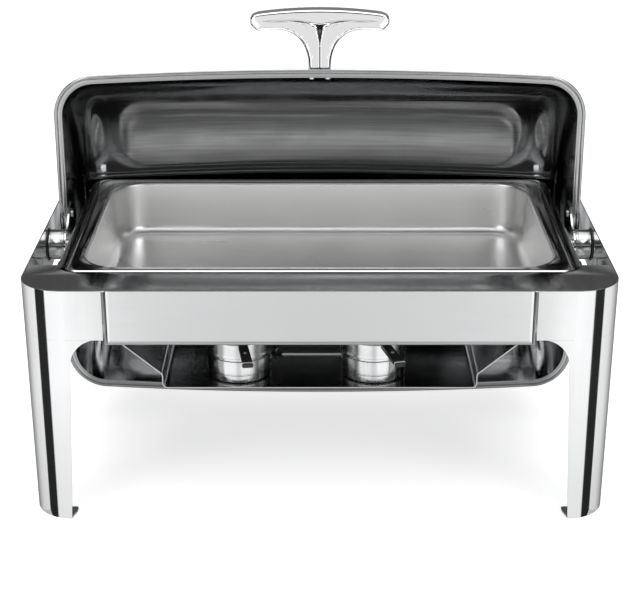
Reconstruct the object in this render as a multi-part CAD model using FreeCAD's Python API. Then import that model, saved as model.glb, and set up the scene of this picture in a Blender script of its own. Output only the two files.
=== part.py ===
import FreeCAD, Part
import math
import os

# Roll top chafer: a folded stainless stand on four legs, a water pan with a front
# deck, a food pan, a rolling lid on two side pivots and two fuel burners on a hung
# tray.  Millimetres.  X is the width, Y points to the back, Z is up.
# Origin: on the floor, under the lid's pivot axis, midway between the sides.
# The lid is drawn closed about its pivot and then turned to its half open rest pose.

V = FreeCAD.Vector
X_AXIS = V(1, 0, 0)
Y_AXIS = V(0, 1, 0)
Z_AXIS = V(0, 0, 1)

# stand
HALF_WIDTH = 308.0           # outer face of the side panels
HALF_DEPTH = 214.0           # outer face of the leg fronts and backs
STAND_HEIGHT = 260.0         # top edge of the stand and of the deck
SHEET = 1.2                  # stand and pan sheet
TOP_CORNER = 47.0            # plan radius of a leg's corner at the top
FOOT_CORNER = 42.0           # and at the floor
LEG_TAPER = 3.0              # how far a leg's faces lean in, top to floor
SIDE_PANEL_HALF = 120.0      # half length of the flat side panel
GUSSET_REACH = 220.6         # inner end of a leg's front gusset
GUSSET_BOTTOM = 206.5        # lower edge of gussets and side panels
LEG_EDGE_TOP = 255.7         # inner edge of a leg's front face under the gusset
LEG_EDGE_FOOT = 263.7        # and at the floor
GUSSET_START = 178.6         # height where the gusset's curve leaves the leg
SIDE_EDGE_TOP = 162.0        # the same edges on a leg's side face
SIDE_EDGE_FOOT = 171.0
SIDE_GUSSET_REACH = 127.0
FOOT_PLATE = 2.0             # thickness of the plates that close the legs
FOOT_PLATE_REACH = 4.0       # how far a foot plate shows inside the leg's edge
FOOT_PLATE_DEPTH = 27.0      # how far it reaches behind the leg's face
FOOT_PLATE_SLANT = 14.0      # how far back its free edge slants away from the front
SEAT_GAP = 0.2               # clearance round a plate or loose pan

# water pan and deck
PAN_Y = 8.0                  # centre of the pans behind the pivot axis
DECK_BACK = 176.0            # rear edge of the deck
DECK_SIDE = 276.0            # side edge of the deck beside the lid's slots
DECK_CORNER = 22.0           # rear corners, clear of the rolling lid's corners
SLOT_FRONT = -135.0          # front end of the slots that the lid's ears turn in
SEAT_HALF_X = 266.5          # recess that the food pan's flange drops into
SEAT_HALF_Y = 164.0
SEAT_DEPTH = 3.0
WELL_HALF_X = 258.0
WELL_HALF_Y = 155.5
WELL_BOTTOM = 180.0
LIP_DROP = 14.0

# front panel
PANEL_HALF = 219.6
PANEL_BOTTOM = 200.0
PANEL_RETURN = 13.0
PANEL_ROUND = 6.0

# food pan, the 530 x 325 catering size
FOOD_HALF_X = 265.0
FOOD_HALF_Y = 162.5
FOOD_WELL_X = 249.0
FOOD_WELL_Y = 149.0
FOOD_DEPTH = 62.0
FOOD_CORNER = 42.0
FOOD_SHEET = 1.0
FOOD_DRAFT = 6.0             # how far each wall leans in over the depth
FOOD_FLANGE = 3.2            # height of the flange with its turned down edge
FOOD_COVE = 12.0             # radius between walls and floor

# lid, about its pivot
PIVOT_Z = 236.0
LID_RADIUS = 189.0           # outer radius of the barrel at mid width
LID_BOW = 7.0                # how much smaller it is beside the end corners
LID_HALF = 289.0             # outer face of the end walls
LID_CORNER = 45.0            # radius between barrel and end walls
LID_SHEET = 1.0
RIM_OFFSET = 25.4            # rim face above the pivot when closed
RIM_WIDTH = 8.0
HEM_WIDTH = 4.0
HEM_PROUD = 0.8
REST_OPENING = 90.0          # degrees rolled back from closed
HANDLE_HEIGHT = RIM_OFFSET + 17.0   # the handle's axis above the pivot when closed
HANDLE_THICKNESS = 22.0
SCREW_X = 9.0                # the handle's two screws, from the middle
SCREW_RADIUS = 2.0

# hinge stacks, distances from the middle
EAR_INNER = 286.0
EAR_OUTER = 288.0
BOSS_OUTER = 305.9
BOSS_RADIUS = 17.0
WASHER_INNER = 306.1
PANEL_INNER = HALF_WIDTH - SHEET
BOLT_RADIUS = 3.0
RUNNING_FIT = 0.06
NUT_INNER = 279.4
NUT_OUTER = 284.4
SPRING_OUTER = 285.6
RIVET_Y = 22.0               # the ears' rivets, either side of the pivot
RIVET_HEIGHT = 46.0          # and above it
RIVET_RADIUS = 2.0
RIVET_HEAD = 1.2

# fuel tray and burners
TRAY_FLOOR = 108.0
TRAY_FRONT = -110.0
TRAY_BACK = 100.0
TRAY_FLOOR_HALF = 173.0
TRAY_WALL_TOP = 123.0
TRAY_ARM_TOP = 240.0
TRAY_TAB_END = 254.0
RIB_HALF = 51.0              # pressed rib across the tray's floor
RIB_WIDTH = 20.0
RIB_HEIGHT = 3.0
STUD_X = 247.0               # studs that hold the tray under the water pan
STUD_Y = (TRAY_FRONT + 30.0, TRAY_BACK - 30.0)
STUD_RADIUS = 2.0
TRAY_NUT = 3.2
BURNER_Y = -66.0
BURNER_RADIUS = 35.9
BURNER_HEIGHT = 44.0
BURNER_SHEET = 1.0
COVER_SKIRT = 137.8          # lower edge of a burner cover's skirt
COVER_TOP = 156.0
COVER_GAP = 0.3
FLAME_HOLE = 18.0
TANG_START = 24.0            # steel strip of a cover's handle, from the burner's axis
TANG_END = 97.4
TANG_HALF = 4.5
BAND_END = 99.0              # upright band at the strip's end
GRIP_START = 44.0
GRIP_END = 101.0
GRIP_HALF = 5.5
GRIP_RISE = 4.6              # top of the grip above the cover
GRIP_RIVET = 72.0
BURNERS = {"left": (-90.0, 8.0), "right": (60.0, 14.5)}   # place in X, handle angle


def save(name, *solids):
    """Write one node; several solids are a group of separate identical pieces."""
    shape = solids[0] if len(solids) == 1 else Part.makeCompound(list(solids))
    shape.exportStep("parts/" + name + ".step")


def block(x0, x1, y0, y1, z0, z1):
    return Part.makeBox(x1 - x0, y1 - y0, z1 - z0, V(x0, y0, z0))


def rod(radius, x0, x1):
    """A round bar along X on the lid's pivot axis."""
    return Part.makeCylinder(radius, x1 - x0, V(x0, 0, PIVOT_Z), X_AXIS)


def post(radius, x, y, z0, z1):
    return Part.makeCylinder(radius, z1 - z0, V(x, y, z0), Z_AXIS)


def both_sides(make):
    """The right piece, and its mirror image on the left."""
    right = make()
    return mirrored(right), right


def mirrored(shape, normal=X_AXIS):
    return shape.mirror(V(0, 0, 0), normal)


def rounded_edges(points, radii):
    """Straight runs through the points with a tangent arc at each inner point."""
    edges = []
    start = points[0]
    for before, corner, after, radius in zip(points, points[1:], points[2:], radii):
        into = (corner - before).normalize()
        out = (after - corner).normalize()
        turn = into.getAngle(out)
        reach = radius * math.tan(turn / 2)
        first = corner - into * reach
        last = corner + out * reach
        bisector = (out - into).normalize()
        middle = corner + bisector * (radius / math.cos(turn / 2) - radius)
        edges.append(Part.LineSegment(start, first).toShape())
        edges.append(Part.Arc(first, middle, last).toShape())
        start = last
    edges.append(Part.LineSegment(start, points[-1]).toShape())
    return edges


def folded_sheet(points, thickness, bend, run, normal):
    """Sheet folded along a path in a plane and as long as the vector run.

    The sheet lies on the left of the path as seen against the normal.
    """
    sides = [normal.cross((b - a).normalize()) for a, b in zip(points, points[1:])]
    offset = [points[0] + sides[0] * thickness]
    turns = []
    for one, two, corner in zip(sides, sides[1:], points[1:]):
        mitre = (one + two).normalize()
        offset.append(corner + mitre * (thickness / mitre.dot(one)))
        turns.append(one.cross(two).dot(normal) > 0)
    offset.append(points[-1] + sides[-1] * thickness)
    face_radii = [bend + thickness if left else bend for left in turns]
    back_radii = [bend if left else bend + thickness for left in turns]
    edges = rounded_edges(points, face_radii)
    edges.append(Part.LineSegment(points[-1], offset[-1]).toShape())
    edges += rounded_edges(offset[::-1], back_radii[::-1])
    edges.append(Part.LineSegment(offset[0], points[0]).toShape())
    wire = Part.Wire(Part.__sortEdges__(edges))
    return Part.Face(wire).extrude(run)


def upright_edges(shape):
    return [e for e in shape.Edges if abs(e.tangentAt(e.FirstParameter).z) > 0.9]


def plan_slab(half_x, half_y, centre_y, corner, z0, z1):
    """A rounded rectangle in plan, from z0 to z1."""
    slab = block(-half_x, half_x, centre_y - half_y, centre_y + half_y, z0, z1)
    return slab.makeFillet(corner, upright_edges(slab))


def rounded_outline(half_x, half_y, centre_y, corner, z):
    """The outline of a rounded rectangle in plan, as a wire at height z."""
    corners = []
    for sx, sy in ((1, -1), (1, 1), (-1, 1), (-1, -1)):
        corners.append(V(sx * (half_x - corner), centre_y + sy * (half_y - corner), z))
    diagonal = corner / math.sqrt(2)
    edges = []
    for i, (sx, sy) in enumerate(((1, -1), (1, 1), (-1, 1), (-1, -1))):
        c = corners[i]
        on_x = c + V(sx * corner, 0, 0)
        on_y = c + V(0, sy * corner, 0)
        first, last = (on_y, on_x) if sx * sy < 0 else (on_x, on_y)
        middle = c + V(sx * diagonal, sy * diagonal, 0)
        edges.append(Part.Arc(first, middle, last).toShape())
    ends = [(e.valueAt(e.FirstParameter), e.valueAt(e.LastParameter)) for e in edges]
    for i in range(4):
        edges.append(Part.LineSegment(ends[i][1], ends[(i + 1) % 4][0]).toShape())
    return Part.Wire(Part.__sortEdges__(edges))


def basin(half_x, half_y, corner, z_top, z_bottom, lean, floor_round):
    """A drafted basin as a solid: its plan shrinks by lean, its floor edge is round."""
    top = rounded_outline(half_x, half_y, PAN_Y, corner, z_top)
    low = rounded_outline(half_x - lean, half_y - lean, PAN_Y, corner - lean, z_bottom)
    solid = Part.makeLoft([top, low], True, True)
    floor = [e for e in solid.Edges if abs(e.BoundBox.ZMax - z_bottom) < 0.01]
    return solid.makeFillet(floor_round, floor)


# ---------------------------------------------------------------- stand

def leg_section(z, corner, lean):
    """Closed outline of a front right leg's folded sheet at one height."""
    x_out = HALF_WIDTH - lean
    y_out = -(HALF_DEPTH - lean)
    front_end = GUSSET_REACH
    side_end = -SIDE_PANEL_HALF
    outer = [V(front_end, y_out, z), V(x_out, y_out, z), V(x_out, side_end, z)]
    inner = [V(x_out - SHEET, side_end, z), V(x_out - SHEET, y_out + SHEET, z),
             V(front_end, y_out + SHEET, z)]
    edges = rounded_edges(outer, [corner])
    edges.append(Part.LineSegment(outer[-1], inner[0]).toShape())
    edges += rounded_edges(inner, [corner - SHEET])
    edges.append(Part.LineSegment(inner[-1], outer[0]).toShape())
    return Part.Wire(edges)


def leg_cutter(edge_foot, edge_top, reach, across, depth):
    """The opening beside a leg's face: a leaning edge, then the gusset's curve."""
    inward = 100.0
    start = across * edge_foot - Z_AXIS
    knee = across * edge_top + Z_AXIS * GUSSET_START
    end = across * reach + Z_AXIS * GUSSET_BOTTOM
    bulge = across * ((edge_top * 3 + reach) / 4) + Z_AXIS * (GUSSET_BOTTOM - 8.0)
    far_top = across * inward + Z_AXIS * GUSSET_BOTTOM
    far_foot = across * inward - Z_AXIS
    edges = [Part.LineSegment(start, knee).toShape(),
             Part.Arc(knee, bulge, end).toShape(),
             Part.LineSegment(end, far_top).toShape(),
             Part.LineSegment(far_top, far_foot).toShape(),
             Part.LineSegment(far_foot, start).toShape()]
    face = Part.Face(Part.Wire(edges))
    face.translate(depth * -0.5)
    return face.extrude(depth)


def front_right_leg():
    foot = leg_section(0.0, FOOT_CORNER, LEG_TAPER)
    top = leg_section(STAND_HEIGHT, TOP_CORNER, 0.0)
    sheet = Part.makeLoft([foot, top], True, True)
    beside_front = leg_cutter(LEG_EDGE_FOOT, LEG_EDGE_TOP, GUSSET_REACH, X_AXIS,
                              Y_AXIS * 10.0)
    beside_front.translate(V(0, -HALF_DEPTH + 2.0, 0))
    beside_side = leg_cutter(SIDE_EDGE_FOOT, SIDE_EDGE_TOP, SIDE_GUSSET_REACH,
                             Y_AXIS * -1, X_AXIS * 10.0)
    beside_side.translate(V(HALF_WIDTH - 2.0, 0, 0))
    return sheet.cut(beside_front).cut(beside_side)


def foot_plate():
    """The plate that closes a leg's foot; its inner corner shows beside the leg."""
    inner_x = LEG_EDGE_FOOT - FOOT_PLATE_REACH
    back_y = -(HALF_DEPTH - FOOT_PLATE_DEPTH)
    x_in = HALF_WIDTH - LEG_TAPER - SHEET
    y_in = -(HALF_DEPTH - LEG_TAPER - SHEET)
    plate = block(inner_x, x_in - SEAT_GAP, y_in + SEAT_GAP, back_y, 0.0, FOOT_PLATE)
    free_corner = [e for e in upright_edges(plate)
                   if e.CenterOfMass.distanceToPoint(V(inner_x, back_y, 1.0)) < 2.0]
    plate = plate.makeFillet(3.0, free_corner)
    front = V(inner_x, y_in, 0)
    slant = Part.Face(Part.makePolygon([front, V(LEG_EDGE_FOOT, y_in, 0),
                                        front + V(0, FOOT_PLATE_SLANT, 0), front]))
    plate = plate.cut(slant.extrude(V(0, 0, FOOT_PLATE)))
    radius = FOOT_CORNER - SHEET
    corner_x = x_in - radius
    corner_y = y_in + radius
    quarter = block(corner_x, x_in + 1, y_in - 1, corner_y, -1.0, FOOT_PLATE + 1)
    outside = quarter.cut(post(radius - SEAT_GAP, corner_x, corner_y, -1.0,
                               FOOT_PLATE + 1))
    return plate.cut(outside)


def side_panel():
    panel = block(PANEL_INNER, HALF_WIDTH, -SIDE_PANEL_HALF, SIDE_PANEL_HALF,
                  GUSSET_BOTTOM, STAND_HEIGHT)
    return panel.cut(rod(BOLT_RADIUS, PANEL_INNER - 1, HALF_WIDTH + 1))


def front_panel():
    """Bright front panel between the gussets, with rounded, returned edges."""
    y0 = -HALF_DEPTH
    body = block(-PANEL_HALF, PANEL_HALF, y0, y0 + PANEL_RETURN, PANEL_BOTTOM,
                 STAND_HEIGHT)
    front = [e for e in body.Edges if abs(e.BoundBox.YMax - y0) < 0.01
             and e.CenterOfMass.z < STAND_HEIGHT - 1]
    body = body.makeFillet(PANEL_ROUND, front)
    hollow = block(-PANEL_HALF + SHEET, PANEL_HALF - SHEET, y0 + SHEET,
                   y0 + PANEL_RETURN + 10, PANEL_BOTTOM + SHEET, STAND_HEIGHT + 10)
    inner = [e for e in hollow.Edges if abs(e.BoundBox.YMax - y0 - SHEET) < 0.01
             and e.CenterOfMass.z < STAND_HEIGHT + 1]
    hollow = hollow.makeFillet(PANEL_ROUND - SHEET, inner)
    under_deck = block(-PANEL_HALF - 1, PANEL_HALF + 1, y0 + SHEET,
                       y0 + PANEL_RETURN + 1, STAND_HEIGHT - SHEET, STAND_HEIGHT + 1)
    return body.cut(hollow).cut(under_deck)


# ---------------------------------------------------------------- pans

def deck_outline_slab(z0, z1):
    """The deck in plan: wide at the front, narrower beside the lid's slots."""
    front_y = -HALF_DEPTH + SHEET
    wide = block(-PANEL_INNER, PANEL_INNER, front_y, SLOT_FRONT, z0, z1)
    front_corners = [e for e in upright_edges(wide) if e.CenterOfMass.y < front_y + 1]
    wide = wide.makeFillet(TOP_CORNER - SHEET, front_corners)
    middle_y = (DECK_BACK + SLOT_FRONT - 20.0) / 2
    narrow = plan_slab(DECK_SIDE, DECK_BACK - middle_y, middle_y, DECK_CORNER, z0, z1)
    return wide.fuse(narrow).removeSplitter()


def water_pan():
    top = STAND_HEIGHT
    deck = deck_outline_slab(top - SHEET, top)
    middle_y = (DECK_BACK + SLOT_FRONT) / 2
    half_y = DECK_BACK - middle_y
    skirt = plan_slab(DECK_SIDE, half_y, middle_y, DECK_CORNER, top - LIP_DROP, top)
    skirt = skirt.cut(plan_slab(DECK_SIDE - SHEET, half_y - SHEET, middle_y,
                                DECK_CORNER - SHEET, top - LIP_DROP - 1, top + 1))
    skirt = skirt.cut(block(-DECK_SIDE, DECK_SIDE, SLOT_FRONT - 1, SLOT_FRONT + 12.0,
                            top - LIP_DROP - 1, top + 1))
    seat_top = top - SEAT_DEPTH
    seat = plan_slab(SEAT_HALF_X + SHEET, SEAT_HALF_Y + SHEET, PAN_Y, 15.0,
                     seat_top - SHEET, top)
    well = basin(WELL_HALF_X + SHEET, WELL_HALF_Y + SHEET, 44.0, seat_top, WELL_BOTTOM,
                 4.0, 20.0)
    solid = deck.fuse([skirt, seat, well])
    seat_hollow = plan_slab(SEAT_HALF_X, SEAT_HALF_Y, PAN_Y, 14.0, seat_top, top + 1)
    well_hollow = basin(WELL_HALF_X, WELL_HALF_Y, 42.8, top, WELL_BOTTOM + SHEET,
                        4.0, 18.8)
    return solid.cut(seat_hollow).cut(well_hollow)


def food_pan():
    rim_z = STAND_HEIGHT - SEAT_DEPTH + SEAT_GAP
    rim_top = rim_z + FOOD_FLANGE
    flange = plan_slab(FOOD_HALF_X, FOOD_HALF_Y, PAN_Y, 13.0, rim_z, rim_top)
    under = plan_slab(FOOD_HALF_X - FOOD_SHEET, FOOD_HALF_Y - FOOD_SHEET, PAN_Y, 12.0,
                      rim_z - 1, rim_top - FOOD_SHEET)
    flange = flange.cut(under)
    shell = basin(FOOD_WELL_X + FOOD_SHEET, FOOD_WELL_Y + FOOD_SHEET,
                  FOOD_CORNER + FOOD_SHEET, rim_top, rim_top - FOOD_DEPTH, FOOD_DRAFT,
                  FOOD_COVE + FOOD_SHEET)
    hollow = basin(FOOD_WELL_X, FOOD_WELL_Y, FOOD_CORNER, rim_top,
                   rim_top - FOOD_DEPTH + FOOD_SHEET, FOOD_DRAFT, FOOD_COVE)
    return flange.fuse(shell).cut(hollow)


# ---------------------------------------------------------------- lid

def to_rest(shape):
    """Carry a piece drawn closed about the pivot to the lid's rest pose."""
    turned = shape.copy()
    turned.rotate(V(0, 0, 0), X_AXIS, -REST_OPENING)
    turned.translate(V(0, 0, PIVOT_Z))
    return turned


def barrel(grow):
    """The lid's barrel as a solid of revolution, grown outward by a distance."""
    end = LID_HALF + grow
    corner = LID_CORNER + grow
    side_radius = LID_RADIUS - LID_BOW + grow
    shoulder = end - corner
    slant = corner / math.sqrt(2)
    left_mid = V(-shoulder - slant, 0, side_radius - corner + slant)
    right_mid = V(shoulder + slant, 0, side_radius - corner + slant)
    a = V(-end, 0, 0)
    b = V(-end, 0, side_radius - corner)
    c = V(-shoulder, 0, side_radius)
    d = V(shoulder, 0, side_radius)
    e = V(end, 0, side_radius - corner)
    f = V(end, 0, 0)
    edges = [Part.LineSegment(a, b).toShape(),
             Part.Arc(b, left_mid, c).toShape(),
             Part.Arc(c, V(0, 0, LID_RADIUS + grow), d).toShape(),
             Part.Arc(d, right_mid, e).toShape(),
             Part.LineSegment(e, f).toShape(),
             Part.LineSegment(f, a).toShape()]
    return Part.Face(Part.Wire(edges)).revolve(V(0, 0, 0), X_AXIS, 360)


def layer(solid, z0, z1):
    return solid.common(block(-400, 400, -300, 300, z0, z1))


def lid_shell():
    inside = barrel(-LID_SHEET)
    dome = layer(barrel(0.0), RIM_OFFSET, LID_RADIUS + 5)
    rim = layer(barrel(RIM_WIDTH), RIM_OFFSET, RIM_OFFSET + SHEET)
    hem = layer(barrel(RIM_WIDTH), RIM_OFFSET - HEM_PROUD, RIM_OFFSET + SHEET + HEM_PROUD)
    hem = hem.cut(barrel(RIM_WIDTH - HEM_WIDTH))
    shell = dome.fuse([rim, hem]).cut(inside)
    for x in (-SCREW_X, SCREW_X):
        shell = shell.cut(screw_hole(x))
    for side in (-1, 1):
        for y in (-RIVET_Y, RIVET_Y):
            start = V(side * (EAR_INNER - 6), y, RIVET_HEIGHT)
            shell = shell.cut(Part.makeCylinder(RIVET_RADIUS, 20, start, X_AXIS * side))
    return shell


def screw_hole(x):
    """A handle screw's hole, through the lid's front and into the handle's stem."""
    return Part.makeCylinder(SCREW_RADIUS, 40, V(x, -160, HANDLE_HEIGHT), Y_AXIS * -1)


def ear():
    """Right ear: a plate inside the end wall that reaches down to the pivot."""
    outline = [V(EAR_INNER, -34, 60), V(EAR_INNER, -34, 34), V(EAR_INNER, -16, 8),
               V(EAR_INNER, -16, -16), V(EAR_INNER, 16, -16), V(EAR_INNER, 16, 8),
               V(EAR_INNER, 34, 34), V(EAR_INNER, 34, 60)]
    edges = rounded_edges(outline, [10.0, 20.0, 15.5, 15.5, 20.0, 10.0])
    edges.append(Part.LineSegment(outline[-1], outline[0]).toShape())
    plate = Part.Face(Part.Wire(edges)).extrude(X_AXIS * (EAR_OUTER - EAR_INNER))
    top = [e for e in plate.Edges if abs(e.tangentAt(e.FirstParameter).x) > 0.9
           and e.CenterOfMass.z > 59]
    plate = plate.makeFillet(6.0, top)
    plate = plate.cut(Part.makeCylinder(BOLT_RADIUS + RUNNING_FIT, 10,
                                        V(EAR_INNER - 2, 0, 0), X_AXIS))
    for y in (-RIVET_Y, RIVET_Y):
        start = V(EAR_INNER - 2, y, RIVET_HEIGHT)
        plate = plate.cut(Part.makeCylinder(RIVET_RADIUS, 10, start, X_AXIS))
    return plate


def boss():
    """Right hinge boss: a bright drum between the ear and the side panel."""
    drum = Part.makeCylinder(BOSS_RADIUS, BOSS_OUTER - EAR_OUTER, V(EAR_OUTER, 0, 0),
                             X_AXIS)
    rims = [e for e in drum.Edges if len(e.Vertexes) == 1 and e.Length > 50]
    drum = drum.makeFillet(1.5, [e for e in rims if e.CenterOfMass.x > EAR_OUTER + 1])
    return drum.cut(Part.makeCylinder(BOLT_RADIUS + RUNNING_FIT, 30,
                                      V(EAR_OUTER - 2, 0, 0), X_AXIS))


def ear_rivets():
    """Two rivets a side: a flat head on each face of the ear and end wall."""
    rivets = []
    for side in (-1, 1):
        for y in (-RIVET_Y, RIVET_Y):
            out = X_AXIS * side
            inner = V(side * EAR_INNER, y, RIVET_HEIGHT)
            outer = V(side * LID_HALF, y, RIVET_HEIGHT)
            shank = Part.makeCylinder(RIVET_RADIUS, LID_HALF - EAR_INNER, inner, out)
            heads = [Part.makeCylinder(RIVET_RADIUS * 2, RIVET_HEAD, inner, out * -1),
                     Part.makeCylinder(RIVET_RADIUS * 2, RIVET_HEAD, outer, out)]
            rivets.append(shank.fuse(heads))
    return rivets


def lid_handle():
    """Cast T handle: a bar on a flared stem, drawn standing forward of the lid."""
    foot = LID_RADIUS - 1.5
    half = [(13.0, 0.0), (11.0, 9.0), (10.0, 16.0), (14.4, 28.0), (24.0, 39.5),
            (43.0, 50.0), (70.5, 46.5), (77.0, 54.0), (76.0, 63.5), (69.0, 67.5)]
    right = [V(x, -(foot + h), 0) for x, h in half]
    left = [V(-x, -(foot + h), 0) for x, h in half]
    top = V(0, -(foot + 72.5), 0)

    def curve(points):
        spline = Part.BSplineCurve()
        spline.interpolate(points)
        return spline.toShape()

    edges = [curve(right[:6]), Part.LineSegment(right[5], right[6]).toShape(),
             curve(right[6:]), Part.Arc(right[-1], top, left[-1]).toShape(),
             curve(left[6:][::-1]), Part.LineSegment(left[6], left[5]).toShape(),
             curve(left[:6][::-1]), Part.LineSegment(left[0], right[0]).toShape()]
    face = Part.Face(Part.Wire(Part.__sortEdges__(edges)))
    body = face.extrude(Z_AXIS * HANDLE_THICKNESS)
    body.translate(Z_AXIS * (HANDLE_HEIGHT - HANDLE_THICKNESS / 2))
    long_edges = [e for e in body.Edges if abs(e.tangentAt(e.FirstParameter).z) < 0.1
                  and e.CenterOfMass.y < -foot - 1]
    body = body.makeFillet(3.0, long_edges)
    body = body.cut(barrel(0.0))
    for x in (-SCREW_X, SCREW_X):
        body = body.cut(screw_hole(x))
    return body


def handle_screws():
    """Two screws from inside the lid into the handle's stem."""
    screws = []
    inner_y = -math.sqrt((LID_RADIUS - LID_SHEET) ** 2 - HANDLE_HEIGHT ** 2)
    for x in (-SCREW_X, SCREW_X):
        shank = Part.makeCylinder(SCREW_RADIUS, 200 + inner_y,
                                  V(x, -200, HANDLE_HEIGHT), Y_AXIS)
        head = Part.makeCylinder(3.6, 2.0, V(x, inner_y - 0.1, HANDLE_HEIGHT), Y_AXIS)
        driver_slot = block(x - 4, x + 4, inner_y + 1.1, inner_y + 3,
                            HANDLE_HEIGHT - 0.5, HANDLE_HEIGHT + 0.5)
        screws.append(shank.fuse(head).cut(driver_slot))
    return screws


# ---------------------------------------------------------------- hinge hardware

def pivot_bolt():
    head = rod(7.0, HALF_WIDTH, HALF_WIDTH + 3.0)
    dome_edge = [e for e in head.Edges if e.CenterOfMass.x > HALF_WIDTH + 2.9]
    head = head.makeFillet(2.2, [e for e in dome_edge if len(e.Vertexes) == 1])
    return head.fuse(rod(BOLT_RADIUS, NUT_INNER - 1.5, HALF_WIDTH))


def pivot_washer():
    return rod(BOSS_RADIUS + 1.5, WASHER_INNER, PANEL_INNER).cut(
        rod(BOLT_RADIUS, WASHER_INNER - 1, PANEL_INNER + 1))


def pivot_nut():
    centre = V(NUT_INNER, 0, PIVOT_Z)
    corner = 10.0 / math.sqrt(3)
    points = [centre + V(0, corner * math.cos(math.radians(a)),
                         corner * math.sin(math.radians(a))) for a in range(0, 361, 60)]
    nut = Part.Face(Part.makePolygon(points)).extrude(X_AXIS * (NUT_OUTER - NUT_INNER))
    return nut.cut(rod(BOLT_RADIUS, NUT_INNER - 1, NUT_OUTER + 1))


def spring_washer():
    return rod(6.0, NUT_OUTER, SPRING_OUTER).cut(
        rod(BOLT_RADIUS, NUT_OUTER - 1, SPRING_OUTER + 1))


# ---------------------------------------------------------------- tray and burners

def fuel_tray():
    top = WELL_BOTTOM
    right = [(TRAY_FLOOR_HALF, TRAY_FLOOR - SHEET), (TRAY_FLOOR_HALF, TRAY_WALL_TOP),
             (TRAY_ARM_TOP, top - SHEET), (TRAY_TAB_END, top - SHEET)]
    path = [V(-x, TRAY_FRONT, z) for x, z in right[::-1]]
    path += [V(x, TRAY_FRONT, z) for x, z in right]
    tray = folded_sheet(path, SHEET, 5.0, V(0, TRAY_BACK - TRAY_FRONT, 0), Y_AXIS * -1)
    rib = block(-RIB_HALF, RIB_HALF, -RIB_WIDTH, 0, TRAY_FLOOR - SHEET,
                TRAY_FLOOR + RIB_HEIGHT)
    rib = rib.makeFillet(9.0, upright_edges(rib))
    rib_top = [e for e in rib.Edges
               if abs(e.BoundBox.ZMin - TRAY_FLOOR - RIB_HEIGHT) < 0.01]
    rib = rib.makeFillet(2.5, rib_top)
    tray = tray.fuse(rib).cut(rib_hollow())
    for x, y in stud_places():
        tray = tray.cut(post(STUD_RADIUS, x, y, top - 5, top + 1))
    return tray


def rib_hollow():
    """The back of the pressed rib, open below."""
    wall = 1.5
    hollow = block(-RIB_HALF + wall, RIB_HALF - wall, -RIB_WIDTH + wall, -wall,
                   TRAY_FLOOR - SHEET - 1, TRAY_FLOOR + RIB_HEIGHT - SHEET)
    return hollow.makeFillet(7.5, upright_edges(hollow))


def stud_places():
    return [(x, y) for x in (-STUD_X, STUD_X) for y in STUD_Y]


def tray_studs():
    """Four studs welded under the water pan."""
    return [post(STUD_RADIUS, x, y, WELL_BOTTOM - 9.0, WELL_BOTTOM)
            for x, y in stud_places()]


def tray_nuts():
    nuts = []
    corner = 7.0 / math.sqrt(3)
    z0 = WELL_BOTTOM - SHEET - TRAY_NUT
    for x, y in stud_places():
        points = [V(x + corner * math.cos(math.radians(a)),
                    y + corner * math.sin(math.radians(a)), z0)
                  for a in range(0, 361, 60)]
        nut = Part.Face(Part.makePolygon(points)).extrude(Z_AXIS * TRAY_NUT)
        nuts.append(nut.cut(post(STUD_RADIUS, x, y, z0 - 1, z0 + 5)))
    return nuts


def turned_cup(x, outer, wall, z0, z1, edge):
    """An upright cup with a rounded lower edge."""
    cup = post(outer, x, BURNER_Y, z0, z1)
    low = [e for e in cup.Edges if abs(e.BoundBox.ZMax - z0) < 0.01
           and abs(e.BoundBox.ZMin - z0) < 0.01]
    cup = cup.makeFillet(edge, low)
    return cup.cut(post(outer - wall, x, BURNER_Y, z0 + wall, z1 + 1))


def burner(x):
    bottom = TRAY_FLOOR + SEAT_GAP
    return turned_cup(x, BURNER_RADIUS, BURNER_SHEET, bottom, bottom + BURNER_HEIGHT, 3.0)


def burner_cover(x):
    """Cap over the burner with a flame hole in its top."""
    outer = BURNER_RADIUS + COVER_GAP + BURNER_SHEET
    cap = post(outer, x, BURNER_Y, COVER_SKIRT, COVER_TOP)
    high = [e for e in cap.Edges if e.BoundBox.ZMin > COVER_TOP - 0.01]
    cap = cap.makeFillet(3.0, high)
    cap = cap.cut(post(outer - BURNER_SHEET, x, BURNER_Y, COVER_SKIRT - 1,
                       COVER_TOP - BURNER_SHEET))
    return cap.cut(post(FLAME_HOLE, x, BURNER_Y, COVER_TOP - 5, COVER_TOP + 1))


def aimed(shape, x, angle):
    """Turn a handle piece drawn straight to the front to its burner's angle."""
    turned = shape.copy()
    turned.translate(V(x, BURNER_Y, 0))
    turned.rotate(V(x, BURNER_Y, 0), Z_AXIS, angle)
    return turned


def handle_strip(reach0, reach1, half, z0, z1):
    return block(-half, half, -reach1, -reach0, z0, z1)


def cover_tang():
    """Steel strip from the cover's top out under the grip, with an end band."""
    strip = handle_strip(TANG_START, TANG_END, TANG_HALF, COVER_TOP, COVER_TOP + SHEET)
    band = handle_strip(TANG_END, BAND_END, 6.6, COVER_TOP - 1.4, COVER_TOP + 5.4)
    return strip.fuse(band)


def cover_grip():
    """Black grip over the outer part of the strip."""
    grip = handle_strip(GRIP_START, GRIP_END, GRIP_HALF, COVER_TOP - 0.8,
                        COVER_TOP + GRIP_RISE)
    long_edges = [e for e in grip.Edges if abs(e.tangentAt(e.FirstParameter).y) > 0.9]
    grip = grip.makeFillet(1.6, long_edges)
    slot = handle_strip(TANG_START, TANG_END, TANG_HALF, COVER_TOP, COVER_TOP + SHEET)
    band_slot = handle_strip(TANG_END, BAND_END, 7.0, COVER_TOP - 2, COVER_TOP + 6)
    return grip.cut(slot).cut(band_slot).Solids


def grip_rivet():
    return post(2.4, 0, -GRIP_RIVET, COVER_TOP + GRIP_RISE, COVER_TOP + GRIP_RISE + 1.2)


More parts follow.
